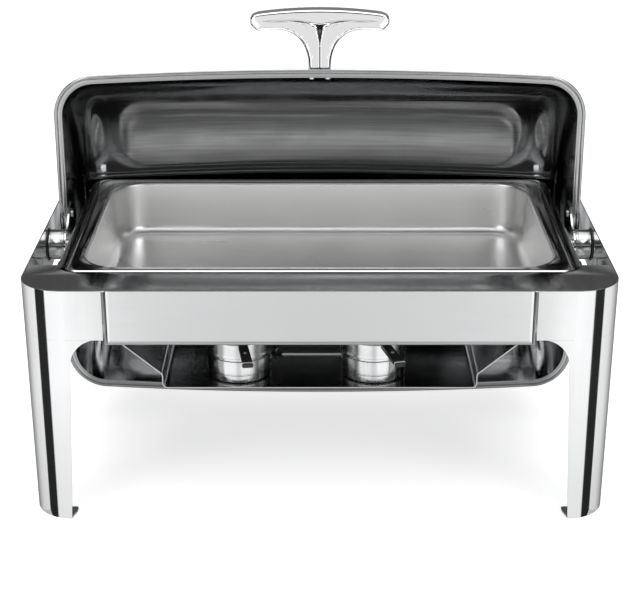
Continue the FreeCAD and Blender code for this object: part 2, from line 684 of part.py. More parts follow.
def build():
    leg = front_right_leg()
    plate = foot_plate()
    save("front_right_leg", leg)
    save("front_left_leg", mirrored(leg))
    save("back_right_leg", mirrored(leg, Y_AXIS))
    save("back_left_leg", mirrored(mirrored(leg), Y_AXIS))
    save("foot_plates", plate, mirrored(plate), mirrored(plate, Y_AXIS),
         mirrored(mirrored(plate), Y_AXIS))
    left, right = both_sides(side_panel)
    save("left_side_panel", left)
    save("right_side_panel", right)
    save("front_panel", front_panel())
    save("water_pan", water_pan())
    save("food_pan", food_pan())
    for name, make in (("pivot_bolts", pivot_bolt), ("pivot_washers", pivot_washer),
                       ("pivot_nuts", pivot_nut), ("spring_washers", spring_washer)):
        save(name, *both_sides(make))
    save("lid_shell", to_rest(lid_shell()))
    for name, make in (("lid_ear", ear), ("hinge_boss", boss)):
        left, right = both_sides(make)
        save(name + "_left", to_rest(left))
        save(name + "_right", to_rest(right))
    save("ear_rivets", *[to_rest(r) for r in ear_rivets()])
    save("lid_handle", to_rest(lid_handle()))
    save("handle_screws", *[to_rest(s) for s in handle_screws()])
    save("fuel_tray", fuel_tray())
    save("tray_studs", *tray_studs())
    save("tray_nuts", *tray_nuts())
    for side, (x, angle) in BURNERS.items():
        save("burner_" + side, burner(x))
        save("burner_cover_" + side, burner_cover(x))
        save("cover_tang_" + side, aimed(cover_tang(), x, angle))
        save("cover_grip_" + side, *[aimed(s, x, angle) for s in cover_grip()])
        save("grip_rivet_" + side, aimed(grip_rivet(), x, angle))


build()
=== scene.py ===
import math

import bmesh
import bpy
import numpy as np
from mathutils import Matrix, Vector


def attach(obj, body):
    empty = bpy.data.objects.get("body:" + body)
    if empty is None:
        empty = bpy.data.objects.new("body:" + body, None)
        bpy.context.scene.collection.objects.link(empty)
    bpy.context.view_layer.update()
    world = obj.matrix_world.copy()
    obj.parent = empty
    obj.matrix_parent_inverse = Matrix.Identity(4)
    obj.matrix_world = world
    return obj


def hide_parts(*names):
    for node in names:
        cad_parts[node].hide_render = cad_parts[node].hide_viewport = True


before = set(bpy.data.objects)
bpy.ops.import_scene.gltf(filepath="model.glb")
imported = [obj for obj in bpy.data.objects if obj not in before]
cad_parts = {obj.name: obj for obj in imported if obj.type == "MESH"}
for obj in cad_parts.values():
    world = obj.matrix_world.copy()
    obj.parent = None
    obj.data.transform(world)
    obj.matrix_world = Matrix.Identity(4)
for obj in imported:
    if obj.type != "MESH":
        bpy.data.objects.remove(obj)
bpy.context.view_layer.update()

# Shapes are worked out in millimetres and scaled to metres when a mesh is made.
MM = 0.001
PIVOT_Z = 236.0              # height of the lid's pivots
PAN_Y = 8.0                  # centre of the pans behind the pivots
SHEET = 1.2                  # stand and water pan sheet


# ---------------------------------------------------------------- materials

SMOOTHEST = 0.02             # least roughness of any steel


def blank_material(name):
    """A material with only a Principled shader: (material, node tree, shader)."""
    mat = bpy.data.materials.new(name)
    mat.use_nodes = True
    tree = mat.node_tree
    tree.nodes.clear()
    out = tree.nodes.new("ShaderNodeOutputMaterial")
    shader = tree.nodes.new("ShaderNodeBsdfPrincipled")
    tree.links.new(shader.outputs["BSDF"], out.inputs["Surface"])
    return mat, tree, shader


def feed(tree, socket, value):
    """Give a socket a fixed value, or link it to the socket that makes its value."""
    if isinstance(value, bpy.types.NodeSocket):
        tree.links.new(value, socket)
    else:
        socket.default_value = value


def place_parts(tree, output):
    """X, Y and Z of the piece's own coordinates or of the world's directions."""
    place = tree.nodes.new("ShaderNodeTexCoord")
    parts = tree.nodes.new("ShaderNodeSeparateXYZ")
    feed(tree, parts.inputs["Vector"], place.outputs[output])
    return parts.outputs


def noise(tree, scale, stretch=(1, 1, 1), detail=3.0, rough=0.5, distort=0.0):
    """A noise pattern in the piece's own coordinates, stretched along an axis."""
    place = tree.nodes.new("ShaderNodeTexCoord")
    mapping = tree.nodes.new("ShaderNodeMapping")
    feed(tree, mapping.inputs["Scale"], stretch)
    feed(tree, mapping.inputs["Vector"], place.outputs["Object"])
    pattern = tree.nodes.new("ShaderNodeTexNoise")
    for name, value in (("Vector", mapping.outputs["Vector"]), ("Scale", scale),
                        ("Detail", detail), ("Roughness", rough),
                        ("Distortion", distort)):
        feed(tree, pattern.inputs[name], value)
    return pattern.outputs["Fac"]


def ranged(tree, value, low, high, start=0.35, end=0.65):
    """Low to high as the value goes from start to end, and held outside them."""
    node = tree.nodes.new("ShaderNodeMapRange")
    for name, number in (("Value", value), ("From Min", start), ("From Max", end),
                         ("To Min", low), ("To Max", high)):
        feed(tree, node.inputs[name], number)
    return node.outputs["Result"]


def maths(tree, operation, *values):
    """A maths node on numbers or sockets."""
    node = tree.nodes.new("ShaderNodeMath")
    node.operation = operation
    for socket, value in zip(node.inputs, values):
        feed(tree, socket, value)
    return node.outputs["Value"]


def mixed(tree, share, one, two, blend="MIX"):
    """From colour one at share 0 to colour two, or its blend over one, at share 1."""
    node = tree.nodes.new("ShaderNodeMix")
    node.data_type = "RGBA"
    node.blend_type = blend
    feed(tree, node.inputs["Factor"], share)
    feed(tree, node.inputs["A"], one)
    feed(tree, node.inputs["B"], two)
    return node.outputs["Result"]


def bumped(tree, shader, layers):
    """Chain of bump layers: (pattern, height in metres)."""
    last = None
    for pattern, height in layers:
        bump = tree.nodes.new("ShaderNodeBump")
        bump.inputs["Strength"].default_value = 1.0
        bump.inputs["Distance"].default_value = height
        tree.links.new(pattern, bump.inputs["Height"])
        if last is not None:
            tree.links.new(last, bump.inputs["Normal"])
        last = bump.outputs["Normal"]
    tree.links.new(last, shader.inputs["Normal"])


def steel(name, shade, rough, vary, grain=(0.04, 1, 1), grain_scale=420.0,
          wave=0.00035, grain_height=0.0, tarnish=0.05, streaks=0.0):
    """Stainless steel: rolling or brush grain, faint smudges and sheet waviness.

    The roughness goes from half of vary under rough to about twice vary over it.
    """
    mat, tree, shader = blank_material(name)
    lines = noise(tree, grain_scale, grain, detail=2.0)
    broad = noise(tree, 38.0, tuple(0.12 if g < 1 else 1.0 for g in grain), detail=2.0)
    smudge = noise(tree, 11.0, detail=4.0, rough=0.6, distort=0.4)
    base = ranged(tree, smudge, rough - vary * 0.5, rough + vary)
    fine = ranged(tree, lines, -vary * 0.5, vary * 0.5)
    band = ranged(tree, broad, -vary * 0.5, vary * 0.5)
    total = maths(tree, "ADD", maths(tree, "ADD", base, fine), band)
    tree.links.new(maths(tree, "MAXIMUM", total, SMOOTHEST), shader.inputs["Roughness"])
    dull = tuple(c * (1 - tarnish) for c in shade)
    share = ranged(tree, maths(tree, "MULTIPLY", maths(tree, "ADD", smudge, broad), 0.5),
                   0.0, 1.0)
    if streaks:
        share = maths(tree, "MULTIPLY_ADD", ranged(tree, lines, -1.0, 1.0), streaks,
                      share)
    feed(tree, shader.inputs["Base Color"], mixed(tree, share, (*shade, 1), (*dull, 1)))
    shader.inputs["Metallic"].default_value = 1.0
    layers = []
    if wave:
        layers.append((noise(tree, 7.0, detail=1.0), wave))
    if grain_height:
        layers.append((lines, grain_height))
    if layers:
        bumped(tree, shader, layers)
    return mat


def painted_shade_by_height(mat):
    """Painted shade and painted light: darken a material's colour over the lid's middle
    heights and lighten it at both ends.

    Heights are in metres in the rest pose.
    """
    tree = mat.node_tree
    shader = next(n for n in tree.nodes if n.type == "BSDF_PRINCIPLED")
    colour = shader.inputs["Base Color"].links[0].from_socket
    height = place_parts(tree, "Object")["Z"]
    lower = ranged(tree, height, 1.6, 0.40, 0.22, 0.27)
    upper = ranged(tree, height, 0.0, 1.2, 0.365, 0.415)
    scale = tree.nodes.new("ShaderNodeVectorMath")
    scale.operation = "SCALE"
    tree.links.new(colour, scale.inputs[0])
    tree.links.new(maths(tree, "ADD", lower, upper), scale.inputs["Scale"])
    tree.links.new(scale.outputs["Vector"], shader.inputs["Base Color"])


def moulded(name, shade, rough, grain_height):
    """Black moulded plastic with a fine spark-eroded grain and rubbed patches."""
    mat, tree, shader = blank_material(name)
    rubbed = noise(tree, 60.0, detail=3.0)
    tree.links.new(ranged(tree, rubbed, rough - 0.07, rough + 0.1),
                   shader.inputs["Roughness"])
    lighter = tuple(c * 1.7 + 0.004 for c in shade)
    feed(tree, shader.inputs["Base Color"],
         mixed(tree, ranged(tree, rubbed, 0, 1), (*shade, 1), (*lighter, 1)))
    bumped(tree, shader, [(noise(tree, 1800.0, detail=1.0), grain_height)])
    return mat


def cool(grey):
    """A faintly blue grey."""
    return grey, grey + 0.005, grey + 0.01


MIRROR = steel("mirror_steel", cool(0.70), 0.055, 0.03, grain=(1, 1, 0.04),
               wave=0.0005)
DECK = steel("deck_steel", cool(0.66), 0.13, 0.06, grain=(1, 0.04, 1),
             wave=0.0004)
LID_OUTSIDE = steel("lid_outside_steel", cool(0.70), 0.07, 0.03,
                    grain=(0.04, 1, 1), wave=0.0008)
# The lid's inside is a darker copy of its outside steel: painted shade of the lid's
# hollow.
LID_INSIDE = steel("lid_inside_steel", cool(0.53), 0.085, 0.06,
                   grain=(0.012, 1, 1), grain_scale=320.0, wave=0.0020, tarnish=0.22,
                   streaks=0.5)
# The lid's inside gets painted shade over its middle heights and painted light at its top
# and bottom.
painted_shade_by_height(LID_INSIDE)
# The lid's rim is a much darker copy of the lid's steel: painted shade on the rim.
RIM_PAINTED_SHADE = steel("lid_rim_painted_shade", cool(0.38), 0.14, 0.06, grain=(1, 1, 1),
                  wave=0.0004)
PAN_RIM = steel("pan_rim_steel", cool(0.82), 0.12, 0.05, grain=(1, 1, 1),
                wave=0.0008, tarnish=0.1)
# Near-black steel for the handle's centre groove and crease lip: painted shade in these
# recesses.
PAINTED_GROOVE_SHADE = steel("painted_groove_shade", (0.10, 0.10, 0.102), 0.16, 0.05, grain=(1, 1, 1),
               grain_scale=160.0, wave=0.0, tarnish=0.2)
SATIN = steel("satin_pan_steel", (0.86, 0.86, 0.855), 0.34, 0.06, grain=(0.03, 1, 1),
              grain_scale=700.0, wave=0.0002, grain_height=0.000012, tarnish=0.04)
PANEL = steel("panel_steel", cool(0.68), 0.12, 0.05, grain=(0.04, 1, 1),
              wave=0.0004)
TRAY = steel("tray_steel", cool(0.56), 0.14, 0.05, grain=(0.04, 1, 1),
             wave=0.0006, tarnish=0.12)
CHROME = steel("cast_chrome", (0.80, 0.80, 0.805), 0.045, 0.03, grain=(1, 1, 1),
               grain_scale=160.0, wave=0.0003, tarnish=0.03)
BURNER = steel("burner_steel", cool(0.64), 0.22, 0.08, grain=(1, 1, 0.05),
               wave=0.0006, tarnish=0.15)
BRIGHT = steel("bright_turned_steel", cool(0.50), 0.14, 0.06,
               grain=(1, 1, 0.05), wave=0.0002)
FASTENER = steel("fastener_steel", cool(0.62), 0.22, 0.08, grain=(1, 1, 1),
                 grain_scale=500.0, wave=0.0)
PLASTIC = moulded("black_plastic", (0.014, 0.014, 0.015), 0.36, 0.00002)
NYLON = moulded("black_nylon", (0.018, 0.018, 0.019), 0.48, 0.00001)


# ---------------------------------------------------------------- mesh helpers

BEVEL_FROM = 50.0            # least angle of an edge that a bevel rounds, in degrees


class Shape:
    """Gathers vertices, in millimetres, and faces with a material number each."""

    def __init__(self):
        self.points = []
        self.faces = []
        self.numbers = []

    def face(self, indices, flip=False, number=0):
        """One face by its vertex numbers; number picks its material."""
        self.faces.append(tuple(indices[::-1]) if flip else tuple(indices))
        self.numbers.append(number)

    def grid(self, rows, closed=False, flip=False, number=0):
        """Quads between rows of points; closed joins each row's ends."""
        first = len(self.points)
        width = len(rows[0])
        for row in rows:
            self.points.extend(Vector(p) for p in row)
        for r in range(len(rows) - 1):
            for c in range(width if closed else width - 1):
                a = first + r * width + c
                b = first + r * width + (c + 1) % width
                self.face((a, b, b + width, a + width), flip, number)

    def cap(self, ring, flip=False):
        """Close a ring of points with one face."""
        first = len(self.points)
        self.points.extend(Vector(p) for p in ring)
        self.face(tuple(range(first, first + len(ring))), flip)

    def two_skins(self, outer, inner):
        """A sheet: an outer and an inner grid joined along all four borders."""
        self.grid(outer)
        self.grid(inner, flip=True)
        borders = [(outer[0], inner[0], True), (outer[-1], inner[-1], False),
                   ([r[0] for r in outer], [r[0] for r in inner], False),
                   ([r[-1] for r in outer], [r[-1] for r in inner], True)]
        for one, two, flip in borders:
            self.grid([one, two], flip=flip)

    def add(self, other):
        """Take in another shape's faces."""
        first = len(self.points)
        self.points += other.points
        self.faces += [tuple(i + first for i in f) for f in other.faces]
        self.numbers += other.numbers
        return self

    def place(self, matrix):
        """Move every point by a matrix."""
        self.points = [matrix @ p for p in self.points]
        return self

    def make(self, name, body, materials, stands_for, slot, sharp=32.0, bevel=0.0,
             weld=0.002):
        """The finished piece: it rides on a body and replaces the CAD nodes named.

        Edges over sharp degrees stay crisp; weld and bevel are in millimetres.
        """
        mesh = bpy.data.meshes.new(name)
        mesh.from_pydata([p * MM for p in self.points], [], self.faces)
        mesh.polygons.foreach_set("material_index", self.numbers)
        for mat in materials:
            mesh.materials.append(mat)
        bm = bmesh.new()
        bm.from_mesh(mesh)
        bmesh.ops.remove_doubles(bm, verts=bm.verts, dist=weld * MM)
        bmesh.ops.dissolve_degenerate(bm, dist=weld * MM, edges=bm.edges)
        bmesh.ops.recalc_face_normals(bm, faces=bm.faces)
        for f in bm.faces:
            f.smooth = True
        limit = math.radians(sharp)
        for e in bm.edges:
            if len(e.link_faces) == 2 and e.calc_face_angle(0.0) > limit:
                e.smooth = False
        bm.to_mesh(mesh)
        bm.free()
        obj = bpy.data.objects.new(name, mesh)
        bpy.context.scene.collection.objects.link(obj)
        if bevel:
            soften = obj.modifiers.new("edges", "BEVEL")
            soften.width = bevel * MM
            soften.segments = 2
            soften.limit_method = "ANGLE"
            soften.angle_limit = math.radians(BEVEL_FROM)
            soften.harden_normals = True
        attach(obj, body)
        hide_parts(*stands_for)
        return obj


def mirrored(shape, axis):
    """A mirror image of a shape across the X or Y plane."""
    sign = Vector([-1 if i == axis else 1 for i in range(3)])
    copy = Shape()
    copy.points = [Vector((p.x * sign.x, p.y * sign.y, p.z * sign.z))
                   for p in shape.points]
    copy.faces = [f[::-1] for f in shape.faces]
    copy.numbers = list(shape.numbers)
    return copy


def spread(a, b, n):
    """n + 1 evenly spaced numbers from a to b."""
    return [a + (b - a) * i / n for i in range(n + 1)]


def radians_over(start, stop, step_size):
    """Angles in radians for whole degrees from start up to, not including, stop."""
    return [math.radians(d) for d in range(start, stop, step_size)]


def arc(cx, cy, radius, a0, a1, n):
    """Points of an arc in a plane, angles in degrees."""
    angles = [math.radians(a) for a in spread(a0, a1, n)]
    return [(cx + radius * math.cos(a), cy + radius * math.sin(a)) for a in angles]


def smooth_line(points, per_span=8):
    """A Catmull-Rom line through points in a plane."""
    pts = [2 * Vector(points[0]) - Vector(points[1])] + [Vector(p) for p in points]
    pts.append(2 * Vector(points[-1]) - Vector(points[-2]))
    line = []
    for p0, p1, p2, p3 in zip(pts, pts[1:], pts[2:], pts[3:]):
        for i in range(per_span):
            t = i / per_span
            line.append(0.5 * (2 * p1 + (p2 - p0) * t + (2 * p0 - 5 * p1 + 4 * p2 - p3)
                               * t * t + (3 * p1 - p0 - 3 * p2 + p3) * t ** 3))
    line.append(pts[-2])
    return line


def resampled(line, n):
    """n + 1 points evenly spaced along a line in a plane."""
    xy = np.array([tuple(p) for p in line])
    run = np.concatenate([[0], np.cumsum(np.hypot(*np.diff(xy, axis=0).T))])
    at = np.linspace(0, run[-1], n + 1)
    return list(zip(np.interp(at, run, xy[:, 0]), np.interp(at, run, xy[:, 1])))


def box_ring(half_x, half_y, corner, z, side_steps=14):
    """A rounded rectangle round the pans' centre, with a fixed number of points."""
    corner_steps = 12
    ring = []
    for sx, sy, start in ((1, 1, 0), (-1, 1, 90), (-1, -1, 180), (1, -1, 270)):
        cx = sx * (half_x - corner)
        cy = PAN_Y + sy * (half_y - corner)
        ring.extend(arc(cx, cy, corner, start, start + 90, corner_steps))
    full = []
    for i, (x, y) in enumerate(ring):
        full.append((x, y, z))
        if (i + 1) % (corner_steps + 1) == 0:
            nx, ny = ring[(i + 1) % len(ring)]
            for k in range(1, side_steps):
                t = k / side_steps
                full.append((x + (nx - x) * t, y + (ny - y) * t, z))
    return full


def turned(profile, centre, axis="z", steps=72):
    """Rows of a body of revolution from (radius, distance along the axis) pairs."""
    rows = []
    for radius, along in profile:
        row = []
        for i in range(steps):
            a = 2 * math.pi * i / steps
            c, s = radius * math.cos(a), radius * math.sin(a)
            if axis == "z":
                row.append((centre[0] + c, centre[1] + s, along))
            else:
                row.append((along, centre[0] + c, centre[1] + s))
        rows.append(row)
    return rows


def rolled_open(points):
    """From the closed lid, measured from its pivot, to its open place at rest."""
    return [Vector((p[0], p[2], PIVOT_Z - p[1])) for p in points]


# ---------------------------------------------------------------- lid

LID_HALF = 289.0             # outer face of the end walls
LID_CORNER = 38.0            # radius between barrel and end walls
LID_SIDE = 182.0             # outer radius of the barrel beside those corners
LID_MIDDLE = 189.0           # and at mid width
LID_SHEET = 1.0
RIM = 25.4                   # rim face above the pivot when closed
SHOULDER = LID_HALF - LID_CORNER
END_WALL_STEPS = 10


def lid_profile(inset):
    """(x, radius) along the lid from the left end wall to the right one."""
    corner = LID_CORNER - inset
    end = LID_HALF - inset
    inner_radius = LID_SIDE - LID_CORNER
    bow = LID_MIDDLE - LID_SIDE
    big = (SHOULDER ** 2 + bow ** 2) / (2 * bow)
    tilt = math.degrees(math.asin(SHOULDER / big))
    left = [(-end, r) for r in spread(RIM + 0.02, inner_radius, END_WALL_STEPS)[:-1]]
    left += arc(-SHOULDER, inner_radius, corner, 180, 90 + tilt, 22)
    edge = -left[-1][0]
    barrel = [(x, LID_MIDDLE - inset - x * x / (2 * big))
              for x in spread(-edge, edge, 56)[1:-1]]
    return left + barrel + [(-x, r) for x, r in left[::-1]]


def lid_skin(inset):
    """Rows across the lid, each a half turn about the pivot cut at the rim."""
    steps = 88
    rows = []
    for x, radius in lid_profile(inset):
        top = math.acos(min(1.0, RIM / radius))
        rows.append([(x, radius * math.sin(a), radius * math.cos(a))
                     for a in spread(-top, top, steps)])
    return rows


def lid_rim_path():
    """The inside of the lid wall at the rim: points and outward directions."""
    side = [(x, math.sqrt(max(r * r - RIM * RIM, 0.0)))
            for x, r in lid_profile(LID_SHEET)[END_WALL_STEPS:-END_WALL_STEPS]]
    end_y = side[0][1]
    ends = [(LID_HALF - LID_SHEET, y) for y in spread(end_y, -end_y, 14)[1:-1]]
    loop = side + ends + [(-x, -y) for x, y in side] + [(-x, -y) for x, y in ends]
    path = []
    for i, (x, y) in enumerate(loop):
        before = Vector(loop[i - 1])
        after = Vector(loop[(i + 1) % len(loop)])
        along = (after - before).normalized()
        path.append(((x, y), (-along.y, along.x)))
    return path


def rim_section():
    """Bend, flat flange, seam and rolled hem, as (outward, down) from the rim face."""
    bend = [(0.05, 4.0), (0.05, 1.6)] + arc(1.45, 1.4, 1.4, 180, 270, 5)
    flange = [(2.5, 0.0), (3.6, 0.0), (4.5, 0.0)]
    seam = [(4.75, 0.12), (4.95, 0.5), (5.05, 0.5)]
    hem = [(7.05 + 1.95 * math.cos(a), 0.6 + 1.4 * math.sin(a))
           for a in radians_over(190, 511, 20)]
    behind = [(5.1, 1.2), (3.0, 1.2), (1.8, 1.25), (1.2, 1.7), (0.95, 2.6), (0.95, 4.0)]
    return bend + flange + seam + hem + behind


def lid_shell():
    """Barrel, end walls and rim; materials 0 outside, 1 inside, 2 rim."""
    shape = Shape()
    outer = [rolled_open(r) for r in lid_skin(0.0)]
    inner = [rolled_open(r) for r in lid_skin(LID_SHEET)]
    shape.grid(outer, number=0)
    shape.grid(inner, flip=True, number=1)
    for row in (0, -1):
        shape.grid([outer[row], inner[row]], number=0)
    for column in (0, -1):
        shape.grid([[r[column] for r in outer], [r[column] for r in inner]], number=2)
    section = rim_section()
    rows = []
    for (x, y), (nx, ny) in lid_rim_path():
        rows.append(rolled_open([(x + nx * w, y + ny * w, RIM + h) for w, h in section]))
    rows.append(rows[0])
    shape.grid(rows, closed=True, number=2)
    return shape.make("lid_shell_skin", "lid", [LID_OUTSIDE, LID_INSIDE, RIM_PAINTED_SHADE],
                      ["lid_shell"], "polished_steel", sharp=50.0)


# ---------------------------------------------------------------- handle

# The open lid's handle stands upright: outlines are (x, height over its foot).
HANDLE_FOOT_Z = PIVOT_Z + LID_MIDDLE - 1.5
HANDLE_FRONT = 31.4          # y of the flat front face
HANDLE_BACK = 53.4
HANDLE_BOTTOM = -1.6
HANDLE_TOP = 72.5
TIP = (77.0, 59.6)           # end of the grip, where crease and outline meet
SHOULDER_X = 68.0            # where the grip's top edge turns into its end
BEVEL = 3.0                  # width of the flat bevel along the underside
SPLIT_HEIGHT = 33.0          # the groove and the mesh widen above this height
GROOVE_TOP = 55.4

LOWER_EDGE = smooth_line([(14.6, HANDLE_BOTTOM), (13.2, 4.0), (12.6, 11.0), (14.0, 23.0),
                          (19.4, 36.0), (29.9, 46.0), (42.9, 50.2), (56.0, 50.0),
                          (69.0, 49.2)])
END_EDGE = smooth_line([(69.0, 49.2), (74.8, 54.6), (77.0, 59.5), (74.6, 65.0),
                        (SHOULDER_X, 67.9)], 6)
CREASE = smooth_line([(0.0, GROOVE_TOP), (4.0, 56.0), (9.0, 57.4), (16.0, 59.4),
                      (26.0, 60.6), (45.0, 60.6), (72.0, 60.0), TIP], 6)


def top_height(x):
    return HANDLE_TOP - 4.6 * (x / SHOULDER_X) ** 2


def between(start, end, n):
    """Rows of points from one line to another, closer together at both."""
    shares = [0.5 - 0.5 * math.cos(math.pi * t) for t in spread(0, 1, n)]
    return [[(a[0] + (b[0] - a[0]) * s, a[1] + (b[1] - a[1]) * s) for s in shares]
            for a, b in zip(start, end)]


def handle_patches():
    """Right half of the handle's outline as two grids of (x, height) points.

    The wing lies under the crease and the bar over it; outer and edge are their
    outlines.
    """
    stem_steps, crease_steps = 30, 44
    stem = [(0.0, h) for h in spread(HANDLE_BOTTOM, GROOVE_TOP, stem_steps)]
    crease = resampled(CREASE, crease_steps)
    inner = stem + crease[1:]
    low_end = [p for p in END_EDGE if p[1] <= TIP[1]]
    outline = [tuple(p) for p in LOWER_EDGE] + [tuple(p) for p in low_end[1:]]
    split = next(i for i, p in enumerate(outline) if p[1] > SPLIT_HEIGHT)
    outer = resampled(outline[:split + 1], stem_steps)
    outer += resampled(outline[split:] + [TIP], len(inner) - 1 - stem_steps)[1:]
    tops = [(x, top_height(x)) for x in spread(0.0, SHOULDER_X, 40)]
    high_end = [tuple(p) for p in END_EDGE if p[1] > TIP[1]][::-1]
    edge = resampled(tops[:-1] + high_end + [TIP], crease_steps)
    return between(inner, outer, 26), between(crease, edge, 14), outer, edge


def step(value, low, high):
    """0 under low, 1 over high and a smooth step between them."""
    t = np.clip((value - low) / (high - low), 0, 1)
    return t * t * (3 - 2 * t)


def distance_to(points, line):
    """Distance of each point to the nearest point of a finely divided line."""
    line = np.array([tuple(q) for q in line], float)
    return np.sqrt(((points[:, None, :] - line[None, :, :]) ** 2).sum(2)).min(1)


def rounding(gap, radius):
    """Depth of a rounded edge at a distance from it."""
    short = np.clip(radius - gap, 0, radius - 1e-6)
    return radius - np.sqrt(radius ** 2 - short ** 2)


def crease_height(x):
    """Height of the crease between grip and wing at each x."""
    line = np.array([tuple(q) for q in CREASE], float)
    return np.interp(x, line[:, 0], line[:, 1])


def groove_width(height):
    """Half width of the stem's centre groove."""
    return 0.9 + 3.3 * step(height, SPLIT_HEIGHT, 55.0)


def handle_relief(points, outline, carved):
    """How far behind the front face each point of the casting lies."""
    p = np.array(points, float)
    border = np.array(outline, float)
    gap = distance_to(p, border[border[:, 1] > HANDLE_BOTTOM + 0.5])
    depth = rounding(gap, 3.0) + 0.8 * (1 - step(gap, 0.0, 14.0))
    if carved:
        # A flat bevel follows the underside and the stem's sides.
        under = distance_to(p, LOWER_EDGE)
        bevel = 0.60 * np.clip(BEVEL - under, 0, None) + rounding(under, 1.2)
        depth = np.where(under < gap + 0.05, bevel + 0.3, depth)
        valley = crease_height(p[:, 0])
        below = 1 - step(p[:, 1] - valley, -0.4, 0.3)
        depth += 0.54 * np.clip(groove_width(p[:, 1]) - p[:, 0], 0, None) * below
        fold = 0.45 * np.clip(1 - np.abs(p[:, 1] - valley) / 2.0, 0, 1)
        fold += 1.7 * np.clip(1 - np.abs(p[:, 1] - valley + 0.5) / 2.4, 0, 1) * (
            1 - step(p[:, 0], 3.0, 14.0))
        depth += fold * (1 - step(p[:, 0], 56.0, 70.0))
    return depth


def on_lid(x, y, height):
    """A point of the handle; its foot follows the lid's curved top."""
    drop = math.sqrt(LID_MIDDLE ** 2 - y * y) - math.sqrt(LID_MIDDLE ** 2
                                                          - HANDLE_FRONT ** 2)
    near = 1 - float(step(height, HANDLE_BOTTOM, 12.0))
    return (x, y, HANDLE_FOOT_Z + height + drop * near)


def lid_handle():
    wing, bar, outer, edge = handle_patches()
    outline = list(outer) + list(edge[::-1])
    half = Shape()
    sides = ((HANDLE_FRONT, 1.0, True), (HANDLE_BACK, -1.0, False))
    for face_y, inward, carved in sides:
        for patch in (wing, bar):
            flat = [q for row in patch for q in row]
            depth = handle_relief(flat, outline, carved)
            spots = [on_lid(x, face_y + inward * d, h) for (x, h), d in zip(flat, depth)]
            width = len(patch[0])
            half.grid([spots[i:i + width] for i in range(0, len(spots), width)])
    # The centre groove and the lip under the crease take the near-black material: painted
    # shade in these recesses.
    for i, face in enumerate(half.faces):
        middle = sum((half.points[k] for k in face), Vector()) / len(face)
        height = middle.z - HANDLE_FOOT_Z
        valley = crease_height(middle.x)
        in_groove = middle.x < groove_width(height) - 0.3 and height < valley
        in_lip = middle.x < 9.0 and abs(height - valley + 0.3) < 1.3 - 0.1 * middle.x
        if middle.y < (HANDLE_FRONT + HANDLE_BACK) / 2 and (in_groove or in_lip):
            half.numbers[i] = 1
    rim = [tuple(q) for q in outer] + [tuple(q) for q in edge[::-1][1:]]
    fronts = handle_relief(rim, outline, True)
    backs = handle_relief(rim, outline, False)
    rows = []
    for share in (0.0, 0.12, 0.3, 0.5, 0.7, 0.88, 1.0):
        rows.append([on_lid(x, (HANDLE_FRONT + f) * (1 - share)
                            + (HANDLE_BACK - b) * share, h)
                     for (x, h), f, b in zip(rim, fronts, backs)])
    half.grid(rows)
    whole = mirrored(half, 0).add(half)
    return whole.make("cast_handle", "lid", [CHROME, PAINTED_GROOVE_SHADE], ["lid_handle"],
                      "cast_chrome", sharp=60.0, weld=0.01)


# ---------------------------------------------------------------- stand

TOP = 260.0                  # top of the stand and of the deck
HALF_WIDTH = 308.0
HALF_DEPTH = 214.0
LEG_LEAN = 3.0               # how far a leg's faces lean in, top to floor
FOOT_CORNER = 42.0           # plan radius of a leg's corner at the floor
TOP_CORNER = 47.0
GUSSET_Z = 206.5             # lower edge of the gussets and side panels
GUSSET_X = 220.6             # inner end of the front gusset
GUSSET_Y = 127.0             # end of the side gusset's curve
SIDE_PANEL_Y = 120.0         # half length of the side panel that the leg meets
KNEE_Z = 178.6               # where a gusset's curve leaves the leg
KNEE_X, FOOT_X = 255.7, 263.7    # inner edge of a leg's front at knee and floor
KNEE_Y, FOOT_Y = 162.0, 171.0    # and of its side
CURVE_Z = 198.5              # height of a point midway along the gussets' curves


def through(p0, p1, p2, n):
    """Points of the arc through three points in a plane."""
    ax, ay, bx, by, cx, cy = *p0, *p1, *p2
    d = 2 * (ax * (by - cy) + bx * (cy - ay) + cx * (ay - by))
    sa, sb, sc = ax * ax + ay * ay, bx * bx + by * by, cx * cx + cy * cy
    ux = (sa * (by - cy) + sb * (cy - ay) + sc * (ay - by)) / d
    uy = (sa * (cx - bx) + sb * (ax - cx) + sc * (bx - ax)) / d
    a0 = math.degrees(math.atan2(ay - uy, ax - ux))
    a1 = math.degrees(math.atan2(cy - uy, cx - ux))
    return arc(ux, uy, math.hypot(ax - ux, ay - uy), a0, a1, n)


def leg_borders():
    """Rows from foot to top: (front edge x, its z, side edge -y, its z)."""
    rows = []
    for z in [0.0, 1.0] + spread(6.0, KNEE_Z, 24):
        t = z / KNEE_Z
        rows.append((FOOT_X - (FOOT_X - KNEE_X) * t, z, FOOT_Y - (FOOT_Y - KNEE_Y) * t, z))
    front = through((KNEE_X, KNEE_Z), (246.925, CURVE_Z), (GUSSET_X, GUSSET_Z), 11)
    side = through((KNEE_Y, KNEE_Z), (153.25, CURVE_Z), (GUSSET_Y, GUSSET_Z), 11)
    for (x, z), (y, w) in list(zip(front, side))[1:-2]:
        rows.append((x, z, y, w))
    rows.append((GUSSET_X, GUSSET_Z, GUSSET_Y, GUSSET_Z))
    for z in [GUSSET_Z + 0.8] + spread(GUSSET_Z + 2, TOP, 10):
        rows.append((GUSSET_X, z, SIDE_PANEL_Y, z))
    return rows


